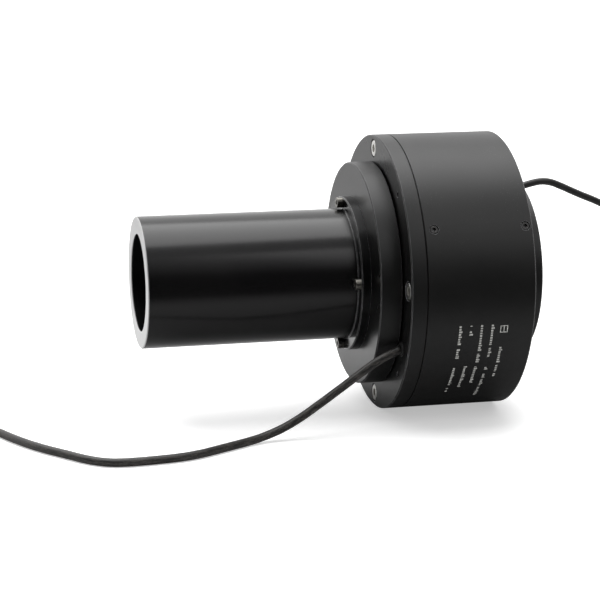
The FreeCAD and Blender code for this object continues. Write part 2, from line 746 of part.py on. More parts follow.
def circlip(x):
    """An internal retaining ring with its gap and two plier eyes at the bottom."""
    outer = SEAT_R + CIRCLIP_DEPTH - SEAT
    inner = SEAT_R - CIRCLIP_RIM
    body = ring(inner, outer, x, x + CIRCLIP_T)
    gap = block(-90.0, x - 1, x + CIRCLIP_T + 1, inner - 2, outer + 1, 6.0)
    eyes = [
        rod(at(x - 1, inner + 1.1, -90.0 + side), AXIS_X, 0.6, CIRCLIP_T + 2) for side in (-7, 7)
    ]
    return cut_all(body, [gap] + eyes)


def brush_frame():
    """A ring that the side screws hold, with an arm along the housing over each brush block."""
    body = ring(BAR_R, FRONT_BORE_R - SEAT, FRAME_X, FRAME_X1)
    for angle in BAR_ANGLES:
        body = body.fuse(block(angle, FRAME_X1 - 1, BLOCK_X1 + 1, BAR_R, BAR_TOP_R, BAR_W))
    threads = [
        rod(place, inward, M25_LONG[0] / 2, M25_LONG[3] + 0.5) for place, inward in frame_screw_places()
    ]
    holes = [
        rod(place, inward, M25_CAP[0] / 2, BAR_H + 1) for place, inward in block_screw_places()
    ]
    return cut_all(body.removeSplitter(), threads + holes)


def block_screw_places():
    middles = ((RING_XS[0] + RING_XS[1]) / 2, (RING_XS[-2] + RING_XS[-1]) / 2)
    return [
        (at(x, BAR_TOP_R, angle), outward(angle) * -1) for angle in BAR_ANGLES for x in middles
    ]


def block_screws():
    return group([cap_screw(M25_CAP, place, inward) for place, inward in block_screw_places()])


def brush_block(angle):
    """The insulating carrier of one set of brushes."""
    body = block(angle, BLOCK_X, BLOCK_X1, BLOCK_R, BAR_R, BLOCK_W)
    threads = [
        rod(place, inward, M25_CAP[0] / 2, BAR_H + BLOCK_H) for place, inward in block_screw_places()
    ]
    return cut_all(body, threads)


def brush_wire(angle, x, side):
    """A straight wire from the block that just clears the ring's groove, on one side of it."""
    start_r = BLOCK_R
    touch_r = RING_R - GROOVE_DEPTH + BRUSH_GAP + BRUSH_D / 2
    reach = math.hypot(start_r, BRUSH_SPREAD)
    tangent = math.sqrt(reach ** 2 - touch_r ** 2)
    slope = math.asin(touch_r / reach)
    middle = at(0, -start_r, angle, -side * BRUSH_SPREAD)
    middle.normalize()
    across = sideways(angle) * (side * start_r) - outward(angle) * BRUSH_SPREAD
    across.normalize()
    along = middle * math.cos(slope) + across * math.sin(slope)
    start = at(x, start_r, angle, side * BRUSH_SPREAD) - along * BRUSH_SUNK
    return rod(start, along, BRUSH_D / 2, BRUSH_SUNK + tangent + BRUSH_PAST)


def brush_wires(angle):
    return group([brush_wire(angle, x, side) for x in RING_XS for side in (-1, 1)])


def terminal_pins(angle):
    """Solder pins on a block's outer face, beside the frame's arm."""
    return group([
        rod(at(x, BAR_R, angle, side * BRUSH_SPREAD), outward(angle), PIN_D / 2, PIN_H)
        for x in RING_XS for side in (-1, 1)
    ])


def harness_x():
    return (RING_XS[2] + RING_XS[3]) / 2


def harness_r():
    return MIDDLE_BORE_R - HARNESS_R_IN


def round_bend(first, last, step=14.0):
    """Points round the inside of the housing between two angles."""
    count = max(2, round(abs(last - first) / step))
    return [at(harness_x(), harness_r(), first + (last - first) * i / count) for i in range(count + 1)]


def block_landing(angle, side):
    """The harness's last two points, down on to a block's outer face."""
    over = at(harness_x(), harness_r() - 0.8, angle, side * BRUSH_SPREAD)
    return [over, at(harness_x(), BAR_R, angle, side * BRUSH_SPREAD)]


def stator_harness():
    start = STATOR_LEAD_ANGLE
    block_angle = BAR_ANGLES[1] - 360
    points = [
        at(SPIGOT_X1 / 2, STATOR_LEAD_R, start),
        at(FLANGE_T + FRONT_RING_L - 3, STATOR_LEAD_R, start),
        at(harness_x() - 3, harness_r(), start),
    ]
    points += round_bend(start - 7, block_angle + 16)
    points += block_landing(block_angle, 1)
    return tube_route(points, HARNESS_D, "stator harness")


def link_harness():
    first = BAR_ANGLES[1] - 360
    second = BAR_ANGLES[0] - 360
    points = block_landing(first, -1)[::-1]
    points += round_bend(first - 16, second + 16)
    points += block_landing(second, 1)
    return tube_route(points, HARNESS_D, "link harness")


def stator_grommet():
    return grommet(STATOR_LEAD_D, 0.0, STATOR_LEAD_R, STATOR_LEAD_ANGLE, -1, SPIGOT_X1 / 2)


# ---- leads

def stator_lead_points():
    start = at(-GROMMET_LIP_T, STATOR_LEAD_R, STATOR_LEAD_ANGLE)
    return [tuple(start)] + STATOR_ROUTE


def rotor_lead_points():
    start = at(COLLAR_X1 + GROMMET_LIP_T, ROTOR_LEAD_R, ROTOR_LEAD_ANGLE)
    return [tuple(start)] + ROTOR_ROUTE


def lead_tails(points, diameter):
    """The bare wire ends beyond a lead's sleeve, one for each ring."""
    end = FreeCAD.Vector(*points[-1])
    along = (end - FreeCAD.Vector(*points[-2])).normalize()
    side = along.cross(FreeCAD.Vector(0, 0, 1)).normalize()
    up = side.cross(along)
    tails = []
    for i in range(RINGS):
        a = 2 * math.pi * i / RINGS
        place = end + side * (TAIL_CIRCLE * math.cos(a)) + up * (TAIL_CIRCLE * math.sin(a))
        tails.append(rod(place, along, TAIL_D / 2 * diameter / STATOR_LEAD_D, TAIL_L))
    return group(tails)


def all_nodes():
    nodes = {
        "extension_tube": extension_tube(),
        "tube_screws": tube_screws(),
        "rotor_hub": rotor_hub(),
        "hub_screws": hub_screws(),
        "rotor_shaft": rotor_shaft(),
        "core_sleeve": core_sleeve(),
        "barrier_discs": barrier_discs(),
        "stack_lock_ring": stack_lock_ring(),
        "rear_spacer": rear_spacer(),
        "rear_collar": rear_collar(),
        "set_screws": set_screws(),
        "rotor_wires": rotor_wires(),
        "rotor_potting": rotor_potting(),
        "rotor_grommet": rotor_grommet(),
        "rotor_lead": tube_route(rotor_lead_points(), ROTOR_LEAD_D, "rotor lead"),
        "rotor_lead_tails": lead_tails(rotor_lead_points(), ROTOR_LEAD_D),
        "front_flange": front_flange(),
        "flange_screws": flange_screws(),
        "housing_shell": housing_shell(),
        "frame_screws": frame_screws(),
        "cover_screws": cover_screws(),
        "rear_cover": rear_cover(),
        "flange_oring": oring(FRONT_BORE_R - SEAT, flange_oring_x()),
        "cover_oring": oring(REAR_BORE_R - SEAT, cover_oring_x()),
        "front_seal": seal(0.4, LIP_T - 0.2),
        "rear_seal": seal(REAR_BEARING_X1 + 0.2, HOUSING_X1 - 0.4),
        "front_circlip": circlip(FRONT_CLIP_X),
        "rear_circlip": circlip(REAR_CLIP_X1 - CIRCLIP_T),
        "brush_frame": brush_frame(),
        "block_screws": block_screws(),
        "stator_harness": stator_harness(),
        "link_harness": link_harness(),
        "stator_grommet": stator_grommet(),
        "stator_lead": tube_route(stator_lead_points(), STATOR_LEAD_D, "stator lead"),
        "stator_lead_tails": lead_tails(stator_lead_points(), STATOR_LEAD_D),
    }
    for i, x in enumerate(RING_XS):
        nodes[f"contact_ring_{i + 1}"] = contact_ring(x)
    for name, x in (("front", FRONT_BEARING_X), ("rear", REAR_BEARING_X)):
        nodes[f"{name}_inner_race"] = inner_race(x)
        nodes[f"{name}_outer_race"] = outer_race(x)
        nodes[f"{name}_balls"] = balls(x)
        nodes[f"{name}_cage"] = cage(x)
    for i, angle in enumerate(BAR_ANGLES):
        nodes[f"brush_block_{i + 1}"] = brush_block(angle)
        nodes[f"brush_wires_{i + 1}"] = brush_wires(angle)
        nodes[f"terminal_pins_{i + 1}"] = terminal_pins(angle)
    return nodes


os.makedirs("parts", exist_ok=True)
for node, shape in all_nodes().items():
    if not shape.isValid():
        print("not valid:", node)
    shape.exportStep(f"parts/{node}.step")
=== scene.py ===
# %% [markdown]
# # A through-bore slip ring, from bare shapes to finished pieces
# A slip ring carries electrical circuits across a turning joint. This one has a black anodised
# housing, a long hollow tube in front and a lead at each end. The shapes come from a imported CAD
# frame, so this lesson is about what a drawing leaves out: finishes, soft leads, wire ends and
# printing. Everything is in metres, with X along the bore and Z up.

# %% Load the frame
import json
import math
import random

import bpy
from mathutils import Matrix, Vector, noise


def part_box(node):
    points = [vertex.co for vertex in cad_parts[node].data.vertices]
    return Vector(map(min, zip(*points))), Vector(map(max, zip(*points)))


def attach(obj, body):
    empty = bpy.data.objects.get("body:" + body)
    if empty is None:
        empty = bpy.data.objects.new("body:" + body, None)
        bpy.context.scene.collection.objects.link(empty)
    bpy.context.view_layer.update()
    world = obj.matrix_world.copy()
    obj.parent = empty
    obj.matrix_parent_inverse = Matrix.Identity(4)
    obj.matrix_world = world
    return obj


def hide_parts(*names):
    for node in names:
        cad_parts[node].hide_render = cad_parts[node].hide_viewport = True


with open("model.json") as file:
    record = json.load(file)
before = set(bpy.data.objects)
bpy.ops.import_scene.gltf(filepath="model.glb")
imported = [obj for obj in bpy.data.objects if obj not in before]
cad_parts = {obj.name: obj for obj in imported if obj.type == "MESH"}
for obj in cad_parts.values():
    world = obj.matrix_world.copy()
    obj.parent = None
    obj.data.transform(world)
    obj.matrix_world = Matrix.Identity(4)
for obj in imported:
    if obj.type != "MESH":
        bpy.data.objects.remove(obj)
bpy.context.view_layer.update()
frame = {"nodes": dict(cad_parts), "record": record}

MM = 0.001
nodes = frame["nodes"]
print("pieces in the frame:", len(nodes))

# %% [markdown]
# ## Sizes that the lesson uses
# The frame already knows how large each piece is. Reading a radius or an end from a piece's box
# keeps the finishes in the right place if the design is changed later. The alternative, typing
# the numbers again here, goes wrong silently the first time somebody alters the design.

# %% Read sizes from the frame
shell_low, shell_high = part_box("housing_shell")
HOUSING_R = shell_high.z
SEAM_X = shell_low.x
TUBE_END_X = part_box("extension_tube")[0].x
FLOOR_Z = shell_low.z
print(f"housing radius {HOUSING_R / MM:.1f} mm, tube ends at {TUBE_END_X / MM:.1f} mm")

# %% [markdown]
# ## The camera
# A long object is best shown from well back with a long lens, because a short lens close up makes
# its near end swell. The camera stands a metre away, in front of the housing, a
# little to the tube's side and a little above it. The direction is given as a vector and turned
# into a rotation, which is easier to reason about than three separate angles.

# %% Place the camera
CAMERA_PLACE = Vector((-0.2725, -0.9961, 0.2103))
CAMERA_LOOK = Vector((0.22223, 0.95132, -0.21356))
CAMERA_LENS = 120.04

camera_data = bpy.data.cameras.new("studio_camera")
camera_data.lens = CAMERA_LENS
camera_data.sensor_width = 36.0
camera_data.clip_start = 0.05
camera_data.clip_end = 40.0
camera = bpy.data.objects.new("studio_camera", camera_data)
camera.location = CAMERA_PLACE
camera.rotation_euler = CAMERA_LOOK.to_track_quat("-Z", "Y").to_euler()
bpy.context.scene.collection.objects.link(camera)
bpy.context.scene.camera = camera
print("camera distance to the bore:", round(CAMERA_PLACE.length, 3), "m")

# %% [markdown]
# ## Where the two leads lie
# A lead is a fixed length of something flexible. It comes straight out of its rubber grommet,
# bends under its own weight and then lies along the table. A few listed points are enough to say
# where it goes, and a NURBS spline that follows them has no corners. A chain of straight pieces
# would look like bent wire, and a Bezier curve needs its handles tuned one by one.

# %% Routes of the leads
STATOR_LEAD_ROUTE = [
    (-0.0008, -0.05474, -0.02911),
    (-0.0100, -0.0548, -0.0326),
    (-0.0230, -0.0552, -0.0412),
    (-0.0400, -0.0558, -0.0529),
    (-0.0580, -0.0566, -0.0644),
    (-0.0740, -0.0586, -0.0698),
    (-0.0920, -0.0690, -0.0698),
    (-0.1120, -0.0806, -0.0698),
    (-0.1320, -0.0834, -0.0698),
    (-0.1500, -0.0838, -0.0698),
    (-0.1610, -0.0766, -0.0698),
    (-0.1710, -0.0636, -0.0698),
    (-0.1820, -0.0500, -0.0698),
    (-0.1920, -0.0335, -0.0698),
    (-0.2020, -0.0120, -0.0698),
    (-0.2120, 0.0040, -0.0698),
    (-0.2240, 0.0140, -0.0698),
    (-0.2345, 0.0175, -0.0698),
]
ROTOR_LEAD_ROUTE = [
    (0.0783, 0.0000, 0.0420),
    (0.0850, 0.0000, 0.0437),
    (0.0915, 0.0003, 0.0449),
    (0.0975, 0.0006, 0.0442),
    (0.1045, 0.0008, 0.0412),
    (0.1140, 0.0010, 0.0368),
    (0.1250, 0.0012, 0.0324),
    (0.1370, 0.0020, 0.0260),
    (0.1475, 0.0040, 0.0135),
    (0.1545, 0.0070, -0.0030),
    (0.1580, 0.0110, -0.0215),
    (0.1600, 0.0170, -0.0395),
    (0.1615, 0.0260, -0.0555),
    (0.1640, 0.0390, -0.0670),
    (0.1695, 0.0555, -0.07005),
    (0.1815, 0.0695, -0.07005),
    (0.1995, 0.0715, -0.07005),
    (0.2140, 0.0605, -0.07005),
    (0.2175, 0.0430, -0.07005),
    (0.2090, 0.0275, -0.07005),
    (0.1930, 0.0195, -0.07005),
]
STATOR_LEAD_D = 0.0043
ROTOR_LEAD_D = 0.0038
print("points chosen by hand:", len(STATOR_LEAD_ROUTE), "and", len(ROTOR_LEAD_ROUTE))

# %% [markdown]
# ## From a few points to a smooth line
# Blender's own curve object can work the spline out. The helper makes one, reads the close points
# along it and throws the curve away again, because the sleeve below is a mesh of its own. Working
# out the spline here would be a page of formulas for the same line.

# %% Draw a smooth line along each route
def smooth_line(route):
    """Close points along the NURBS spline that has the route's points as its control points."""
    curve = bpy.data.curves.new("route", "CURVE")
    curve.dimensions = "3D"
    curve.resolution_u = 14
    spline = curve.splines.new("NURBS")
    spline.points.add(len(route) - 1)
    for knot, place in zip(spline.points, route):
        knot.co = (*place, 1.0)
    spline.order_u = 3
    spline.use_endpoint_u = True
    holder = bpy.data.objects.new("route", curve)
    mesh = bpy.data.meshes.new_from_object(holder)
    line = [vertex.co.copy() for vertex in mesh.vertices]
    bpy.data.objects.remove(holder)
    bpy.data.curves.remove(curve)
    bpy.data.meshes.remove(mesh)
    return line


def line_length(line):
    return sum((b - a).length for a, b in zip(line, line[1:]))


stator_line = smooth_line(STATOR_LEAD_ROUTE)
rotor_line = smooth_line(ROTOR_LEAD_ROUTE)
print(f"stator lead {line_length(stator_line):.4f} m in {len(stator_line)} points")
print(f"rotor lead {line_length(rotor_line):.4f} m in {len(rotor_line)} points")

# %% [markdown]
# ## A tube that follows a line
# A sweep needs a pair of cross directions at every point. Taking them from a fixed up vector makes
# the tube twist where the line turns steep, so each pair is carried on from the one before with
# the smallest turn that still fits the line. The sweep also writes two numbers on each vertex, the
# distance along the lead and the place round it, so a finish can follow the lead wherever it goes.

# %% Carry a pair of cross directions along a line
def carried_frames(line):
    """The direction, side and up vectors at each point of a line, with no twist between them."""
    directions = []
    for i in range(len(line)):
        before, after = line[max(i - 1, 0)], line[min(i + 1, len(line) - 1)]
        directions.append((after - before).normalized())
    up = Vector((0, 0, 1))
    frames = []
    for direction in directions:
        side = direction.cross(up).normalized()
        up = side.cross(direction).normalized()
        frames.append((direction, side, up))
    return frames


print("directions at the stator lead's end:", [tuple(round(v, 2) for v in axis)
                                               for axis in carried_frames(stator_line)[-1]])

# %% Sweep a tube along a line
def link(piece):
    bpy.context.scene.collection.objects.link(piece)
    return piece


def swept_tube(name, line, radius_at, sides=20):
    """A closed tube round a line; radius_at takes the distance along and the angle round."""
    frames = carried_frames(line)
    vertices, along, around = [], [], []
    distance = 0.0
    for i, (place, (direction, side, up)) in enumerate(zip(line, frames)):
        distance += (place - line[i - 1]).length if i else 0.0
        for k in range(sides):
            a = 2 * math.pi * k / sides
            radius = radius_at(distance, a)
            vertices.append(place + (side * math.cos(a) + up * math.sin(a)) * radius)
            along.append(distance)
            around.append(k / sides)
    faces = []
    for i in range(len(line) - 1):
        for k in range(sides):
            here, beside = i * sides + k, i * sides + (k + 1) % sides
            faces.append((here, beside, beside + sides, here + sides))
    last = (len(line) - 1) * sides
    for ring, place, distance_here in ((0, line[0], 0.0), (last, line[-1], distance)):
        centre = len(vertices)
        vertices.append(place)
        along.append(distance_here)
        around.append(0.5)
        for k in range(sides):
            a, b = ring + k, ring + (k + 1) % sides
            faces.append((b, a, centre) if ring == 0 else (a, b, centre))
    mesh = bpy.data.meshes.new(name)
    mesh.from_pydata(vertices, [], faces)
    for label, values in (("along", along), ("around", around)):
        mesh.attributes.new(label, "FLOAT", "POINT").data.foreach_set("value", values)
    for polygon in mesh.polygons:
        polygon.use_smooth = True
    return link(bpy.data.objects.new(name, mesh))

# %% [markdown]
# ## The leads themselves
# Each lead is six wires in a loose black sleeve. A sleeve is never a perfect cylinder: it shows
# the wires under it a little and swells and narrows along its length. Moving the surface by a few
# hundredths of a millimetre with smooth noise is enough for the highlight on it to waver, where
# the same noise used only as bump would leave a ruler-straight outline.

# %% Sweep the two leads
SLEEVE_WAVER = 0.018
SLEEVE_LAY = 0.045


def sleeve_radius(diameter, seed):
    def radius_at(distance, angle):
        lay = angle + 2 * math.pi * distance / SLEEVE_LAY
        place = Vector((distance * 160, math.cos(angle) * 0.8, math.sin(angle) * 0.8 + seed))
        ridges = 0.25 * math.cos(6 * lay)
        return diameter / 2 * (1 - SLEEVE_WAVER + SLEEVE_WAVER * (noise.noise(place) + ridges))
    return radius_at


stator_lead = swept_tube("stator_lead_sleeve", stator_line, sleeve_radius(STATOR_LEAD_D, 3.0), 28)
rotor_lead = swept_tube("rotor_lead_sleeve", rotor_line, sleeve_radius(ROTOR_LEAD_D, 8.0), 28)
print("sleeve vertices:", len(stator_lead.data.vertices), len(rotor_lead.data.vertices))

# %% [markdown]
# ## Wire ends
# The leads are flying leads: the sleeve stops, and six insulated wires go on, each with its tip
# stripped and tinned ready for a terminal. The wires leave in a ring and spread a little as they
# settle on the table. Each one is its own short curve with a thinner bare core in its end, since a
# colour change painted on one tube would have no step where the insulation was cut.

# %% Fan out the wires
WIRE_D = 0.0010
CORE_SHARE = 0.55          # a bare core's thickness, as a share of its wire's
WIRE_CIRCLE = 0.00125      # the ring that the wires leave the sleeve in
TAIL_LENGTH = 0.0150
TAIL_STEPS = 8
BARE_STEPS = 2             # steps at the tip without insulation
FAN_OUT = 0.0016           # how far the wires part sideways
SAG = 0.0009               # how far the upper wires sink
LIFT = 0.0005              # how far the lower wires are pushed up by the table
WAVE = 0.00025
WIRE_COLOURS = ("brown", "red", "orange", "yellow", "green", "blue")


def wire_line(line, index, scale):
    """One wire's path from inside the sleeve's end to its tip."""
    direction = carried_frames(line)[-1][0]
    side = direction.cross(Vector((0, 0, 1))).normalized()
    up = side.cross(direction)
    angle = 2 * math.pi * index / len(WIRE_COLOURS)
    sideways, lift = math.cos(angle), math.sin(angle)
    start = line[-1] + (side * sideways + up * lift) * WIRE_CIRCLE * scale
    points = []
    for step in range(TAIL_STEPS + 1):
        t = step / TAIL_STEPS
        fan = sideways * FAN_OUT * t * t
        settle = min(0.0, -lift * SAG * t * t) + (LIFT * t * t if lift < -0.1 else 0.0)
        wave = WAVE * math.sin(math.pi * t) * math.cos(2.4 * index)
        points.append(start + direction * (TAIL_LENGTH * t) + side * (fan + wave) + up * settle)
    return points


def plain_radius(radius):
    def radius_at(distance, angle):
        return radius
    return radius_at


def wire_ends(prefix, line, scale):
    """Six wires and their tinned tips, as one piece of insulation each and one piece of metal."""
    insulation, tips = [], []
    bare_from = TAIL_STEPS - BARE_STEPS
    radius = WIRE_D / 2 * scale
    for index, colour in enumerate(WIRE_COLOURS):
        path = wire_line(line, index, scale)
        cover = swept_tube(f"{prefix}_wire_{colour}", path[:bare_from + 1], plain_radius(radius), 14)
        tip = swept_tube(f"{prefix}_tip_{colour}", path[bare_from:], plain_radius(radius * CORE_SHARE), 12)
        insulation.append(cover)
        tips.append(tip)
    return insulation, tips


stator_wires, stator_tips = wire_ends("stator_lead", stator_line, 1.0)
rotor_wires, rotor_tips = wire_ends("rotor_lead", rotor_line, ROTOR_LEAD_D / STATOR_LEAD_D)
print("wires:", len(stator_wires) + len(rotor_wires))

# %% [markdown]
# ## Fasten the leads to their bodies
# Each lead and its wire ends ride on the body that the lead is fastened to, and the lead stands in
# place of the design's own stiff tube and its wire tails, which are hidden.

# %% Fasten the leads and hide the design's tubes
for piece, route, line, diameter, body, node, extras in (
    (stator_lead, STATOR_LEAD_ROUTE, stator_line, STATOR_LEAD_D, "stator", "stator_lead",
     stator_wires + stator_tips),
    (rotor_lead, ROTOR_LEAD_ROUTE, rotor_line, ROTOR_LEAD_D, "rotor", "rotor_lead",
     rotor_wires + rotor_tips),
):
    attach(piece, body)
    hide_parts(node)
    for extra in extras:
        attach(extra, body)
    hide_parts(node + "_tails")
print("leads:", stator_lead.name, "and", rotor_lead.name)

# %% [markdown]
# ## A small toolbox for finishes
# Every finish below is built from shader nodes. Placing a node, setting its values and linking its
# sockets takes three statements each time, so one helper does all three. It keeps each finish down
# to the few lines that say what is different about it. The other helpers are the three nodes that
# every finish needs: a sum, a change of range and a blend of two colours.

# %% Helpers for shader nodes
def put(tree, kind, inputs=None, **settings):
    """A node of a kind, with its settings, and its inputs set to values or linked to sockets."""
    node = tree.nodes.new(kind)
    for name, value in settings.items():
        setattr(node, name, value)
    for key, value in (inputs or {}).items():
        if isinstance(value, bpy.types.NodeSocket):
            tree.links.new(value, node.inputs[key])
        else:
            node.inputs[key].default_value = value
    return node


def maths(tree, operation, a, b=0.0):
    return put(tree, "ShaderNodeMath", {0: a, 1: b}, operation=operation).outputs[0]


def spread(tree, value, low, high, to_low=0.0, to_high=1.0):
    """A value between low and high, spread over another range and held inside it."""
    inputs = {"Value": value, "From Min": low, "From Max": high, "To Min": to_low, "To Max": to_high}
    return put(tree, "ShaderNodeMapRange", inputs).outputs["Result"]


def mixed(tree, factor, a, b):
    """One colour or the other by a factor; colours are sockets or (red, green, blue)."""
    node = put(tree, "ShaderNodeMix", {"Factor": factor}, data_type="RGBA")
    for socket, colour in ((node.inputs[6], a), (node.inputs[7], b)):
        if isinstance(colour, bpy.types.NodeSocket):
            tree.links.new(colour, socket)
        else:
            socket.default_value = (*colour, 1.0)
    return node.outputs[2]

# %% [markdown]
# ## Effects that finishes share
# Turned marks, rubbed rims and dust turn up in many finishes. Each is a node group with named
# inputs, built once and placed with its own values wherever it is wanted. The nodes could be
# copied into every finish instead, but a change would then have to be made in many places.

# %% Helpers for effects
def new_effect(name, inputs, outputs):
    """An empty node group with number inputs; returns its tree, its inputs and its output node.

    An output called Normal is a vector and any other is a number.
    """
    tree = bpy.data.node_groups.new(name, "ShaderNodeTree")
    for label, value in inputs.items():
        socket = tree.interface.new_socket(label, in_out="INPUT", socket_type="NodeSocketFloat")
        socket.default_value = value
    for label in outputs:
        kind = "NodeSocketVector" if label == "Normal" else "NodeSocketFloat"
        tree.interface.new_socket(label, in_out="OUTPUT", socket_type=kind)
    return tree, put(tree, "NodeGroupInput").outputs, put(tree, "NodeGroupOutput")


def effect(tree, group, **values):
    """One of the effects below, placed in a finish with its own values."""
    node = put(tree, "ShaderNodeGroup", node_tree=group)
    for label, value in values.items():
        node.inputs[label.replace("_", " ")].default_value = value
    return node.outputs

# %% [markdown]
# ## Effect: marks that a lathe leaves
# A turned face carries fine circles round the bore, and a turned outside carries fine rings. Both
# depend only on the distance along the bore and the distance from it, so noise over those two
# numbers draws both at once. The alternative, a picture of brushed metal, would have to be
# unwrapped and would show seams.

# %% Build the turned marks effect
turned, given, result = new_effect("turned_marks", {"Pitch": 0.0004}, ["Height"])
place = put(turned, "ShaderNodeTexCoord").outputs["Object"]
parts = put(turned, "ShaderNodeSeparateXYZ", {0: place}).outputs
from_bore = maths(turned, "SQRT", maths(
    turned, "ADD", maths(turned, "MULTIPLY", parts[1], parts[1]),
    maths(turned, "MULTIPLY", parts[2], parts[2])))
pair = put(turned, "ShaderNodeCombineXYZ", {
    0: maths(turned, "DIVIDE", parts[0], given["Pitch"]),
    1: maths(turned, "DIVIDE", from_bore, given["Pitch"])}).outputs[0]
grooves = put(turned, "ShaderNodeTexNoise", {"Vector": pair, "Scale": 0.5, "Detail": 3.0},
              noise_dimensions="2D").outputs[0]
turned.links.new(grooves, result.inputs["Height"])

# %% [markdown]
# ## Effect: lines along a drawn tube
# The extension tube is cut from drawn stock, so its marks run along it. They depend on the angle
# round the bore and hardly at all on the place along it.

# %% Build the drawn lines effect
drawn, given, result = new_effect("drawn_lines", {"Lines": 260.0, "Stretch": 9.0}, ["Height"])
place = put(drawn, "ShaderNodeTexCoord").outputs["Object"]
parts = put(drawn, "ShaderNodeSeparateXYZ", {0: place}).outputs
angle = maths(drawn, "ARCTAN2", parts[1], parts[2])
pair = put(drawn, "ShaderNodeCombineXYZ", {
    0: maths(drawn, "MULTIPLY", angle, given["Lines"]),
    1: maths(drawn, "MULTIPLY", parts[0], given["Stretch"])}).outputs[0]
lines = put(drawn, "ShaderNodeTexNoise", {"Vector": pair, "Scale": 0.3, "Detail": 2.5},
            noise_dimensions="2D").outputs[0]
drawn.links.new(lines, result.inputs["Height"])

# %% [markdown]
# ## Effect: pale rims, part wear and part painted highlight
# Anodising is thin, and the sharpest rims rub through to pale metal first. A rim is where the
# surface turns quickly, so a rounded copy of the normal differs from the true one only there. A
# little noise breaks the line up, because wear is never even. Where a finish lightens its colour by
# this mask, the pale rim is also a painted highlight: it stands in for the bright line that a sharp
# edge catches. The rounded normal is given out too: a real edge is never perfectly sharp, and the
# thin bright line that it catches is what the eye reads as a machined edge.

# %% Build the effect for rims, part wear and part painted highlight
rim_wear_highlight, given, result = new_effect(
    "rubbed_rims", {"Reach": 0.0004, "Patchiness": 0.5}, ["Mask", "Normal"])
rounded = put(rim_wear_highlight, "ShaderNodeBevel", {"Radius": given["Reach"]}, samples=6).outputs[0]
true_normal = put(rim_wear_highlight, "ShaderNodeNewGeometry").outputs["True Normal"]
facing = put(rim_wear_highlight, "ShaderNodeVectorMath", {0: rounded, 1: true_normal},
             operation="DOT_PRODUCT").outputs["Value"]
rim = spread(rim_wear_highlight, maths(rim_wear_highlight, "SUBTRACT", 1.0, facing), 0.01, 0.16)
place = put(rim_wear_highlight, "ShaderNodeTexCoord").outputs["Object"]
patches = put(rim_wear_highlight, "ShaderNodeTexNoise", {"Vector": place, "Scale": 420.0, "Detail": 4.0}).outputs[0]
broken = maths(rim_wear_highlight, "SUBTRACT", 1.0, maths(
    rim_wear_highlight, "MULTIPLY", given["Patchiness"], spread(rim_wear_highlight, patches, 0.35, 0.65)))
# The mask marks rims that are partly worn metal and partly painted highlight.
rim_wear_highlight.links.new(maths(rim_wear_highlight, "MULTIPLY", rim, broken), result.inputs["Mask"])
rim_wear_highlight.links.new(rounded, result.inputs["Normal"])

# %% [markdown]
# ## Effect: uneven colour and a fine matt grain
# Anodised aluminium is etched before it is dyed, which leaves a grain too fine to see as bumps but
# enough to spread a highlight. Dye also takes unevenly, and hands leave faint patches. One group
# gives both: slow clouds for colour and gloss, and a quick grain for the normal.

# %% Build the etched skin effect
etched, given, result = new_effect("etched_skin", {"Cloud": 22.0, "Grain": 3800.0}, ["Clouds", "Height"])
place = put(etched, "ShaderNodeTexCoord").outputs["Object"]
clouds = put(etched, "ShaderNodeTexNoise",
             {"Vector": place, "Scale": given["Cloud"], "Detail": 5.0, "Roughness": 0.6}).outputs[0]
grain = put(etched, "ShaderNodeTexNoise",
            {"Vector": place, "Scale": given["Grain"], "Detail": 2.0}).outputs[0]
etched.links.new(spread(etched, clouds, 0.32, 0.68), result.inputs["Clouds"])
etched.links.new(grain, result.inputs["Height"])

# %% [markdown]
# ## Effect: dust that settles on top
# Dust lies where a surface faces up. Multiplying how far the surface faces up by scattered specks
# keeps the sides clean, which a plain speckle would not.

# %% Build the settled dust effect
dusty, given, result = new_effect("settled_dust", {"Amount": 0.5, "Specks": 900.0}, ["Mask"])
place = put(dusty, "ShaderNodeTexCoord").outputs["Object"]
upward = put(dusty, "ShaderNodeSeparateXYZ",
             {0: put(dusty, "ShaderNodeNewGeometry").outputs["Normal"]}).outputs[2]
specks = put(dusty, "ShaderNodeTexVoronoi",
             {"Vector": place, "Scale": given["Specks"]}).outputs["Distance"]
clumps = put(dusty, "ShaderNodeTexNoise", {"Vector": place, "Scale": 60.0, "Detail": 3.0}).outputs[0]
lying = maths(dusty, "MULTIPLY", spread(dusty, upward, 0.1, 0.9), given["Amount"])
scattered = maths(
    dusty, "MULTIPLY", spread(dusty, specks, 0.16, 0.06), spread(dusty, clumps, 0.45, 0.62))
dusty.links.new(maths(dusty, "MULTIPLY", lying, scattered), result.inputs["Mask"])
print("effects:", [group.name for group in bpy.data.node_groups])

# %% [markdown]
# ## A finish to build on
# Each finish starts from a new material with its own shader, and ends with a bump on the surface
# normal. The shader itself stays in the material, so every finish can still be tuned alone.

# %% Helpers for a finish
def new_finish(name, metallic=0.0, specular=0.5):
    material = bpy.data.materials.new(name)
    material.use_nodes = True
    tree = material.node_tree
    shader = next(node for node in tree.nodes if node.type == "BSDF_PRINCIPLED")
    shader.inputs["Metallic"].default_value = metallic
    shader.inputs["Specular IOR Level"].default_value = specular
    return material, tree, shader


def bumped(tree, shader, height, strength, distance=0.00003, normal=None):
    bump = put(tree, "ShaderNodeBump", {"Height": height, "Strength": strength, "Distance": distance})
    if normal:
        tree.links.new(normal, bump.inputs["Normal"])
    tree.links.new(bump.outputs[0], shader.inputs["Normal"])


def along_bore(tree):
    """The distance along the bore, as a socket."""
    return put(tree, "ShaderNodeSeparateXYZ",
               {0: put(tree, "ShaderNodeTexCoord").outputs["Object"]}).outputs[0]
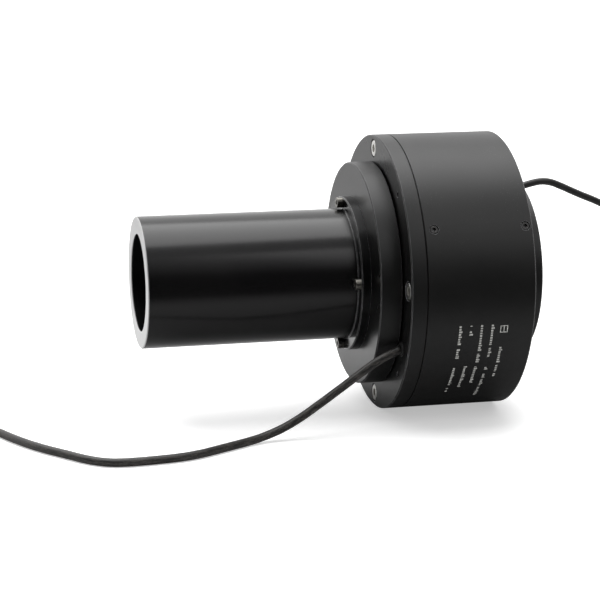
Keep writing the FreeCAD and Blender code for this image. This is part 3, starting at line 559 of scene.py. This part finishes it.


# %% [markdown]
# ## Black anodising
# The black pieces share one pattern: a dye that drifts between two tones, pale rims that are
# part rubbed metal and part painted highlight, dust, a gloss that drifts too, and the marks of how
# the piece was made. One function wires the pattern up and leaves the numbers to each finish. Two
# materials made by hand would soon differ in ways that nobody meant.

# %% Helper for black anodising
# Pale rims: partly worn metal, partly a painted highlight on sharp edges.
RIM_WEAR_AND_HIGHLIGHT = 0.75
WORN_AND_HIGHLIGHT_TONE = (0.34, 0.34, 0.35)
DUST_TONE = (0.42, 0.41, 0.39)
DUST_DULLS = 0.3           # what dust adds to the roughness
SEAM_EDGE = (0.0006, 0.0010)    # the pale rim, wear and painted highlight, sets in between these distances from the joint
FACE_GLOSS = 0.68          # roughness of a face across the bore, as a share of an outside's


def dark_anodised(name, deep, pale, gloss_from, gloss_to, marks, bump=0.25, dust=0.5, specular=0.5):
    """Black anodised aluminium, with its marks from a function that puts out a height.

    Nothing rubs beside the flange's joint line, so the pale rim, part wear and part painted
    highlight, stops short of it. Faces across the bore are turned with a slow feed and come out
    smoother than the outsides.
    """
    material, tree, shader = new_finish(name, specular=specular)
    skin = effect(tree, etched)
    rim = effect(tree, rim_wear_highlight, Reach=0.00045, Patchiness=0.45)
    from_seam = maths(tree, "ABSOLUTE", maths(tree, "SUBTRACT", along_bore(tree), SEAM_X))
    # The rim colour below is partly wear and partly a painted highlight.
    wear_and_highlight = maths(tree, "MULTIPLY", rim["Mask"], spread(tree, from_seam, *SEAM_EDGE, 0.0, RIM_WEAR_AND_HIGHLIGHT))
    dust_mask = effect(tree, dusty, Amount=dust)["Mask"]
    dye = mixed(tree, skin["Clouds"], deep, pale)
    worn_and_highlighted = mixed(tree, wear_and_highlight, dye, WORN_AND_HIGHLIGHT_TONE)
    colour = mixed(tree, dust_mask, worn_and_highlighted, DUST_TONE)
    tree.links.new(colour, shader.inputs["Base Color"])
    gloss = spread(tree, skin["Clouds"], 0.0, 1.0, gloss_from, gloss_to)
    normal = put(tree, "ShaderNodeNewGeometry").outputs["Normal"]
    lengthwise = maths(tree, "ABSOLUTE", put(tree, "ShaderNodeSeparateXYZ", {0: normal}).outputs[0])
    gloss = maths(tree, "MULTIPLY", gloss, spread(tree, lengthwise, 0.6, 0.95, 1.0, FACE_GLOSS))
    tree.links.new(maths(tree, "ADD", gloss, maths(tree, "MULTIPLY", dust_mask, DUST_DULLS)),
                   shader.inputs["Roughness"])
    height = maths(tree, "ADD", maths(tree, "MULTIPLY", skin["Height"], 0.4), marks(tree))
    bumped(tree, shader, height, bump, normal=rim["Normal"])
    return material, tree, shader

# %% [markdown]
# ## Satin black for the turned pieces
# The housing, flange, hub and collar are turned, etched and dyed black. Their gloss is soft: the
# light above spreads down the side of the housing in one broad fall from grey to black.

# %% Make satin black
def turned_height(tree):
    return effect(tree, turned, Pitch=0.00035)["Height"]


satin_black = dark_anodised(
    "satin_black_anodising", (0.0012, 0.0012, 0.0014), (0.0040, 0.0038, 0.0037), 0.40, 0.46,
    turned_height, dust=0.25)[0]
print("made:", satin_black.name)

# %% [markdown]
# ## Smoother black for the tube, with a bare end
# The tube is smoother than the housing and was cut to length after it was dyed, so its end face is
# bright metal. Both go in one finish: a mask that is 1 on the end face turns the dye off there.

# %% Make tube black
BARE_UP_TO = 0.00025       # how far from the tube's end the metal is quite bare
DYED_FROM = 0.00045        # how far from it the dye is whole


def drawn_height(tree):
    return maths(tree, "MULTIPLY", effect(tree, drawn)["Height"], 1.3)


tube_black, tree, shader = dark_anodised(
    "tube_black_anodising", (0.0016, 0.0016, 0.0019), (0.0026, 0.0025, 0.0027), 0.19, 0.23,
    drawn_height, bump=0.06, dust=0.06, specular=0.44)
cut_end = spread(tree, along_bore(tree), TUBE_END_X + DYED_FROM, TUBE_END_X + BARE_UP_TO)
for socket_name, bare in (("Base Color", (0.60, 0.60, 0.60)), ("Roughness", 0.42), ("Metallic", 1.0)):
    socket = shader.inputs[socket_name]
    if socket_name == "Base Color":
        value = mixed(tree, cut_end, socket.links[0].from_socket, bare)
    elif socket.links:
        dyed = socket.links[0].from_socket
        value = put(tree, "ShaderNodeMix", {0: cut_end, 2: dyed, 3: bare}).outputs[0]
    else:
        value = maths(tree, "MULTIPLY", cut_end, bare)
    tree.links.new(value, socket)
print("made:", tube_black.name, "with a bare end")

# %% [markdown]
# ## Metals
# Screws, races, circlips and rings are all bare or plated metal. A metal's colour is its
# reflection, so they differ by base colour, gloss and the marks of how they were made. One
# function takes those as values, where a node tree for each metal would repeat itself nine times.

# %% Helper for a metal
def metal(name, deep, pale, gloss_from, gloss_to, pitch=0.0003, bump=0.2, rim_wear_and_highlight_colour=None, wear_and_highlight=0.7):
    material, tree, shader = new_finish(name, metallic=1.0)
    skin = effect(tree, etched, Cloud=140.0, Grain=5200.0)
    colour = mixed(tree, skin["Clouds"], deep, pale)
    rim = effect(tree, rim_wear_highlight, Reach=0.00025, Patchiness=0.5)
    # The rim colour is partly wear and partly a painted highlight on sharp edges.
    if rim_wear_and_highlight_colour:
        colour = mixed(tree, maths(tree, "MULTIPLY", rim["Mask"], wear_and_highlight), colour, rim_wear_and_highlight_colour)
    tree.links.new(colour, shader.inputs["Base Color"])
    gloss = spread(tree, skin["Clouds"], 0.0, 1.0, gloss_from, gloss_to)
    tree.links.new(gloss, shader.inputs["Roughness"])
    marks = effect(tree, turned, Pitch=pitch)["Height"]
    bumped(tree, shader, maths(tree, "ADD", marks, skin["Height"]), bump, normal=rim["Normal"])
    return material

# %% Make the metals
bright_plate = metal("bright_plated_steel", (0.66, 0.65, 0.62), (0.88, 0.87, 0.84), 0.26, 0.38)
black_oxide = metal("black_oxide_steel", (0.030, 0.030, 0.032), (0.070, 0.068, 0.066), 0.30, 0.42,
                    rim_wear_and_highlight_colour=(0.46, 0.45, 0.44))
dull_plate = metal("dull_plated_steel", (0.13, 0.125, 0.115), (0.26, 0.25, 0.225), 0.24, 0.36,
                   rim_wear_and_highlight_colour=(0.60, 0.58, 0.54))
ground_steel = metal("ground_bearing_steel", (0.55, 0.55, 0.56), (0.68, 0.68, 0.69), 0.14, 0.24, 0.0002)
spring_black = metal("phosphated_spring_steel", (0.09, 0.09, 0.10), (0.15, 0.15, 0.16), 0.42, 0.56,
                     rim_wear_and_highlight_colour=(0.30, 0.30, 0.31))
turned_brass = metal("turned_ring_brass", (0.74, 0.52, 0.22), (0.86, 0.66, 0.34), 0.16, 0.28, 0.0002, 0.3)
drawn_gold = metal("drawn_gold_alloy", (0.80, 0.60, 0.28), (0.92, 0.74, 0.42), 0.16, 0.26)
machined_alloy = metal("machined_aluminium", (0.62, 0.62, 0.63), (0.76, 0.76, 0.77), 0.28, 0.40)
tinned = metal("tinned_copper_tip", (0.62, 0.60, 0.56), (0.82, 0.80, 0.76), 0.24, 0.40, bump=0.4)
print("finishes so far:", len(bpy.data.materials))

# %% [markdown]
# ## Plastics, rubber and resin
# The insulating pieces sit inside, where only a cutaway or an exploded view shows them. They still
# get a real finish: moulded plastic has a faint cloud and a dull gloss, rubber has a bloom on it,
# laminate is mottled by the glass in it, and potting resin is smooth and deep.

# %% Helper for a moulded finish
def moulded(name, deep, pale, gloss_from, gloss_to, cloud=60.0, grain=2600.0, bump=0.25, coat=0.0):
    material, tree, shader = new_finish(name)
    skin = effect(tree, etched, Cloud=cloud, Grain=grain)
    tree.links.new(mixed(tree, skin["Clouds"], deep, pale), shader.inputs["Base Color"])
    gloss = spread(tree, skin["Clouds"], 0.0, 1.0, gloss_from, gloss_to)
    tree.links.new(gloss, shader.inputs["Roughness"])
    shader.inputs["Coat Weight"].default_value = coat
    bumped(tree, shader, skin["Height"], bump)
    return material

# %% Make the plastics, rubber and resin
ring_plastic = moulded("moulded_ring_insulator", (0.62, 0.55, 0.40), (0.74, 0.68, 0.53), 0.42, 0.54)
cage_nylon = moulded("bearing_cage_nylon", (0.55, 0.47, 0.32), (0.68, 0.60, 0.44), 0.38, 0.50)
seal_rubber = moulded("seal_rubber", (0.005, 0.005, 0.005), (0.012, 0.012, 0.011), 0.55, 0.72,
                      cloud=90.0, grain=3200.0, bump=0.4)
potting = moulded("set_potting_resin", (0.010, 0.010, 0.011), (0.022, 0.021, 0.021), 0.12, 0.22, coat=0.4)
laminate = moulded("glass_laminate", (0.12, 0.22, 0.08), (0.24, 0.36, 0.15), 0.30, 0.42,
                   cloud=800.0, grain=4000.0, bump=0.3)
print("finishes so far:", len(bpy.data.materials))

# %% [markdown]
# ## The sleeve of a lead
# The sleeve is dark grey-brown, with a fine fleck and a dull gloss. The two numbers that the sweep
# wrote on the mesh give this finish its own coordinates, so that its scuffs and fibres stretch
# along the lead even where it turns. Coordinates of the whole scene would cut across the bends.

# %% Make the lead sleeve
def lead_coordinates(tree, along_scale, around_scale):
    along = put(tree, "ShaderNodeAttribute", attribute_name="along").outputs["Fac"]
    around = put(tree, "ShaderNodeAttribute", attribute_name="around").outputs["Fac"]
    turn = maths(tree, "MULTIPLY", around, 2 * math.pi)
    return put(tree, "ShaderNodeCombineXYZ", {
        0: maths(tree, "MULTIPLY", along, along_scale),
        1: maths(tree, "MULTIPLY", maths(tree, "SINE", turn), around_scale),
        2: maths(tree, "MULTIPLY", maths(tree, "COSINE", turn), around_scale)}).outputs[0]


def lead_sleeve(name, deep, pale):
    material, tree, shader = new_finish(name)
    scuffs = put(tree, "ShaderNodeTexNoise",
                 {"Vector": lead_coordinates(tree, 260.0, 2.6), "Scale": 1.0, "Detail": 4.0}).outputs[0]
    fibres = put(tree, "ShaderNodeTexNoise",
                 {"Vector": lead_coordinates(tree, 900.0, 9.0), "Scale": 1.0, "Detail": 3.0}).outputs[0]
    flecks = spread(tree, maths(tree, "MULTIPLY", scuffs, fibres), 0.22, 0.33)
    tree.links.new(mixed(tree, flecks, deep, pale), shader.inputs["Base Color"])
    tree.links.new(spread(tree, scuffs, 0.3, 0.7, 0.34, 0.52), shader.inputs["Roughness"])
    shader.inputs["Sheen Weight"].default_value = 0.08
    bumped(tree, shader, maths(tree, "ADD", scuffs, fibres), 0.6, 0.00010)
    return material


front_sleeve = lead_sleeve("stator_lead_sleeve", (0.004, 0.0036, 0.0032), (0.040, 0.0350, 0.0305))
rear_sleeve = lead_sleeve("rotor_lead_sleeve", (0.003, 0.0029, 0.0027), (0.014, 0.0128, 0.0116))
stator_lead.data.materials.append(front_sleeve)
rotor_lead.data.materials.append(rear_sleeve)
print("sleeves:", front_sleeve.name, "and", rear_sleeve.name)

# %% [markdown]
# ## The colours of the wires
# Each circuit's wire has its own colour, so that its two ends can be matched. The insulation is
# the moulded finish again in six tones, each a little darker in its clouds, and a wire's own name
# says which one it takes.

# %% Make the wire colours
WIRE_TONES = {
    "brown": (0.110, 0.045, 0.020), "red": (0.420, 0.025, 0.020), "orange": (0.640, 0.190, 0.025),
    "yellow": (0.700, 0.520, 0.060), "green": (0.030, 0.210, 0.070), "blue": (0.025, 0.090, 0.350),
}
wire_finish = {
    colour: moulded(f"wire_insulation_{colour}", tuple(0.8 * part for part in tone), tone, 0.30, 0.42,
                    cloud=180.0, grain=5000.0, bump=0.2)
    for colour, tone in WIRE_TONES.items()
}
for piece in stator_wires + rotor_wires:
    piece.data.materials.append(wire_finish[piece.name.rsplit("_", 1)[1]])
for piece in stator_tips + rotor_tips:
    piece.data.materials.append(tinned)
print("wire colours:", ", ".join(wire_finish))

# %% [markdown]
# ## Give each piece of the frame its finish
# The frame's pieces keep their shape, and only their material slots change. One table says which
# finish each piece gets, by the slot that the design gave it. The tube's screws are the exception:
# their plating is duller than that of the flange's screws.

# %% Finish the frame's pieces
FINISH_OF_SLOT = {
    "black_anodised": satin_black, "tube_anodised": tube_black, "bare_aluminium": machined_alloy,
    "black_steel": black_oxide, "chrome_steel": bright_plate, "bearing_steel": ground_steel,
    "spring_steel": spring_black, "ring_brass": turned_brass, "gold_alloy": drawn_gold,
    "insulator": ring_plastic, "laminate": laminate, "cage_nylon": cage_nylon,
    "seal_rubber": seal_rubber, "potting_resin": potting, "lead_jacket": front_sleeve,
    "wire_insulation": wire_finish["orange"],
}
for part in frame["record"]["subparts"]:
    piece = nodes[part["node"]]
    finish = dull_plate if part["node"] == "tube_screws" else FINISH_OF_SLOT[part["material_slot"]]
    piece.data.materials.clear()
    piece.data.materials.append(finish)

# %% [markdown]
# ## Printing on the housing
# A slip ring carries a printed block of rows on its side. Real marks name a maker, so this one has
# rows of plain blocks in place of words. Each block is a thin raised patch that follows the curve
# of the housing, because ink has an edge and a thickness that a painted pattern lacks.

# %% Helper for a patch of ink
INK_PROUD = 0.00003
ink_vertices, ink_faces = [], []


def on_housing(x, angle, proud):
    radius = HOUSING_R + proud
    return Vector((x, -radius * math.cos(angle), radius * math.sin(angle)))


def ink_patch(x0, x1, angle0, angle1, steps=2):
    """A thin closed patch on the housing between two places along it and two angles."""
    first = len(ink_vertices)
    for i in range(steps + 1):
        angle = angle0 + (angle1 - angle0) * i / steps
        for x, proud in ((x0, 0.0), (x1, 0.0), (x1, INK_PROUD), (x0, INK_PROUD)):
            ink_vertices.append(on_housing(x, angle, proud))
    for i in range(steps):
        for k in range(4):
            a, b = first + 4 * i + k, first + 4 * i + (k + 1) % 4
            ink_faces.append((a, b, b + 4, a + 4))
    ink_faces.append((first + 3, first + 2, first + 1, first))
    last = first + 4 * steps
    ink_faces.append((last, last + 1, last + 2, last + 3))

# %% [markdown]
# ## The rows and the mark
# A row runs round the housing, and its groups of blocks are given by the angles in degrees that
# they fill. The blocks' widths and heights come from one seeded source, so every run prints the
# same rows. The last row starts with a plain outlined square that has a bar across it.

# %% Print the rows
INK_HEIGHT = 0.0018
BLOCK_WIDTH = 0.00100
BLOCK_GAP = 0.00045
BLOCK_WIDTHS = (0.5, 0.8, 1.0, 1.0)
BLOCK_HEIGHTS = (0.62, 0.62, 0.62, 0.95)
PRINTED_SHARE = 0.88       # the rest of the blocks are left out
FIRST_ROW_X, ROW_PITCH = 0.0262, 0.0056
ROW_GROUPS = [
    [(-12.0, -29.4), (-32.7, -49.0)],
    [(-12.0, -17.7), (-32.0, -45.5)],
    [(-12.0, -30.0), (-32.4, -43.0)],
    [(-12.0, -26.5), (-32.0, -54.0)],
    [(-22.6, -38.5)],
]
ink_source = random.Random(12)
for row, groups in enumerate(ROW_GROUPS):
    low = FIRST_ROW_X + ROW_PITCH * row - INK_HEIGHT / 2
    for start, end in groups:
        angle, stop = math.radians(start), math.radians(end)
        while angle > stop:
            width = BLOCK_WIDTH * ink_source.choice(BLOCK_WIDTHS) / HOUSING_R
            tall = INK_HEIGHT * ink_source.choice(BLOCK_HEIGHTS)
            if ink_source.random() < PRINTED_SHARE:
                ink_patch(low, low + tall, angle, angle - width)
            angle -= width + BLOCK_GAP / HOUSING_R
print("rows of ink:", len(ROW_GROUPS))

# %% Print the mark
MARK_SIZE, MARK_LINE = 0.0040, 0.00045
mark_x = FIRST_ROW_X + ROW_PITCH * (len(ROW_GROUPS) - 1) - 0.0018
mark_angle = math.radians(-12.6)
mark_turn, line_turn = MARK_SIZE / HOUSING_R, MARK_LINE / HOUSING_R
for x in (mark_x, mark_x + (MARK_SIZE - MARK_LINE) / 2, mark_x + MARK_SIZE - MARK_LINE):
    ink_patch(x, x + MARK_LINE, mark_angle, mark_angle - mark_turn, 4)
for angle in (mark_angle, mark_angle - mark_turn + line_turn):
    ink_patch(mark_x, mark_x + MARK_SIZE, angle, angle - line_turn)

# %% Give the ink its piece and its finish
ink_mesh = bpy.data.meshes.new("housing_printing")
ink_mesh.from_pydata(ink_vertices, [], ink_faces)
printing = link(bpy.data.objects.new("housing_printing", ink_mesh))
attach(printing, "stator")
ink, tree, shader = new_finish("grey_marking_ink")
skin = effect(tree, etched, Cloud=900.0, Grain=6000.0)
grey = mixed(tree, skin["Clouds"], (0.18, 0.18, 0.17), (0.40, 0.40, 0.38))
tree.links.new(grey, shader.inputs["Base Color"])
tree.links.new(spread(tree, skin["Clouds"], 0.0, 1.0, 0.5, 0.65), shader.inputs["Roughness"])
bumped(tree, shader, skin["Height"], 0.2)
printing.data.materials.append(ink)
print("faces of ink:", len(ink_faces))

# %% [markdown]
# ## The table
# The table is a plain pale sheet. Black metal shows almost nothing but what it mirrors, and a white
# table mirrored from below would turn the whole front of the tube grey. In a studio, black card
# would lie on the table just out of view. Here the table itself answers mirror rays with a darker
# tone in front, which has the same effect and leaves nothing lying about in other views. The front
# faces of the flange and hub mirror what lies well behind the object, so the tone falls there too.
# The table also glows a little, as one lit from below does, so the shadow stays faint.

# %% Lay the table
TABLE_HALF = 9.0

table_mesh = bpy.data.meshes.new("table_top")
table_mesh.from_pydata([(-TABLE_HALF, -TABLE_HALF, FLOOR_Z), (TABLE_HALF, -TABLE_HALF, FLOOR_Z),
                        (TABLE_HALF, TABLE_HALF, FLOOR_Z), (-TABLE_HALF, TABLE_HALF, FLOOR_Z)],
                       [], [(0, 1, 2, 3)])
table_top = link(bpy.data.objects.new("table_top", table_mesh))
print(f"table at {FLOOR_Z / MM:.1f} mm")

# %% Make the table's finish
CARD_TONE = 0.015          # what a mirror ray sees in front of the object
NEAR_TONE = 0.34           # close to the object
BACK_TONE = 0.78           # behind it
FAR_TONE = 0.46            # well behind it
CARD_EDGE = (-0.26, -0.14)      # each tone turns into the next between two places across the bore
BACK_EDGE = (0.02, 0.16)
FAR_EDGE = (0.20, 0.65)
TABLE_GLOW = 0.45          # light that comes up through it

pale, tree, shader = new_finish("pale_table", specular=0.2)
place = put(tree, "ShaderNodeTexCoord").outputs["Object"]
mottle = put(tree, "ShaderNodeTexNoise", {"Vector": place, "Scale": 3.0, "Detail": 2.0}).outputs[0]
seen = mixed(tree, mottle, (0.86, 0.86, 0.86), (0.88, 0.88, 0.88))
across = put(tree, "ShaderNodeSeparateXYZ", {0: place}).outputs[1]
in_front = spread(tree, across, *CARD_EDGE, CARD_TONE, NEAR_TONE)
further = spread(tree, across, *BACK_EDGE, 0.0, BACK_TONE - NEAR_TONE)
far_off = spread(tree, across, *FAR_EDGE, 0.0, FAR_TONE - BACK_TONE)
mirrored = maths(tree, "ADD", in_front, maths(tree, "ADD", further, far_off))
is_mirror = put(tree, "ShaderNodeLightPath").outputs["Is Glossy Ray"]
glow = put(tree, "ShaderNodeMix", {0: is_mirror, 2: TABLE_GLOW, 3: 0.0}).outputs[0]
tree.links.new(glow, shader.inputs["Emission Strength"])
shader.inputs["Emission Color"].default_value = (1.0, 1.0, 1.0, 1.0)
grey = put(tree, "ShaderNodeCombineColor", {0: mirrored, 1: mirrored, 2: mirrored}).outputs[0]
tree.links.new(mixed(tree, is_mirror, seen, grey), shader.inputs["Base Color"])
shader.inputs["Roughness"].default_value = 0.8
table_mesh.materials.append(pale)
print("made:", pale.name)

# %% [markdown]
# ## The light
# One very broad light, almost straight above, gives the long fall from grey to black down the
# housing and a shadow with hardly any edge. A faint panel at the right is placed where the housing
# mirrors it and the tube doesn't. A lamp for each highlight would take longer and leave several
# shadows.

# %% Place the lights
SUN_SPREAD = 62.0
SUN_POWER = 2.55
SUN_FROM = Vector((-0.10, 0.22, 1.0))
PANEL_PLACE = Vector((0.64, -1.16, 0.99))
PANEL_SIZE = (0.6, 1.0)
PANEL_POWER = 2.6

sun_data = bpy.data.lights.new("broad_light", "SUN")
sun_data.energy = SUN_POWER
sun_data.angle = math.radians(SUN_SPREAD)
sun = link(bpy.data.objects.new("broad_light", sun_data))
sun.rotation_euler = SUN_FROM.to_track_quat("Z", "Y").to_euler()

panel_data = bpy.data.lights.new("side_panel", "AREA")
panel_data.shape = "RECTANGLE"
panel_data.size, panel_data.size_y = PANEL_SIZE
panel_data.energy = PANEL_POWER
panel = link(bpy.data.objects.new("side_panel", panel_data))
panel.location = PANEL_PLACE
panel.rotation_euler = PANEL_PLACE.to_track_quat("Z", "Y").to_euler()
panel.visible_camera = False
print("light from", tuple(round(v, 2) for v in SUN_FROM.normalized()))

# %% [markdown]
# ## The room
# The room round the object is a plain gradient: brighter behind it, softer in front, and dark
# along the horizon on the camera's side. Glossy black mirrors all of this, so the gradient shapes
# the tube more than the lights do.

# %% Build the room
ROOM_FRONT = 0.62
ROOM_BACK = 1.25
ROOM_HORIZON = 0.04

world = bpy.data.worlds.new("studio")
bpy.context.scene.world = world
world.use_nodes = True
tree = world.node_tree
parts = put(tree, "ShaderNodeSeparateXYZ",
            {0: put(tree, "ShaderNodeTexCoord").outputs["Generated"]}).outputs
above = spread(tree, parts[2], 0.32, 0.92, ROOM_HORIZON, ROOM_FRONT)
behind = spread(tree, parts[1], -0.1, 0.5)
room = put(tree, "ShaderNodeMix", {0: behind, 2: above, 3: ROOM_BACK}).outputs[0]
background = next(node for node in tree.nodes if node.type == "BACKGROUND")
tree.links.new(room, background.inputs["Strength"])
background.inputs["Color"].default_value = (1.0, 1.0, 1.0, 1.0)
bpy.context.scene.view_settings.view_transform = "Standard"
print("room from", ROOM_HORIZON, "at the horizon to", ROOM_BACK, "behind")
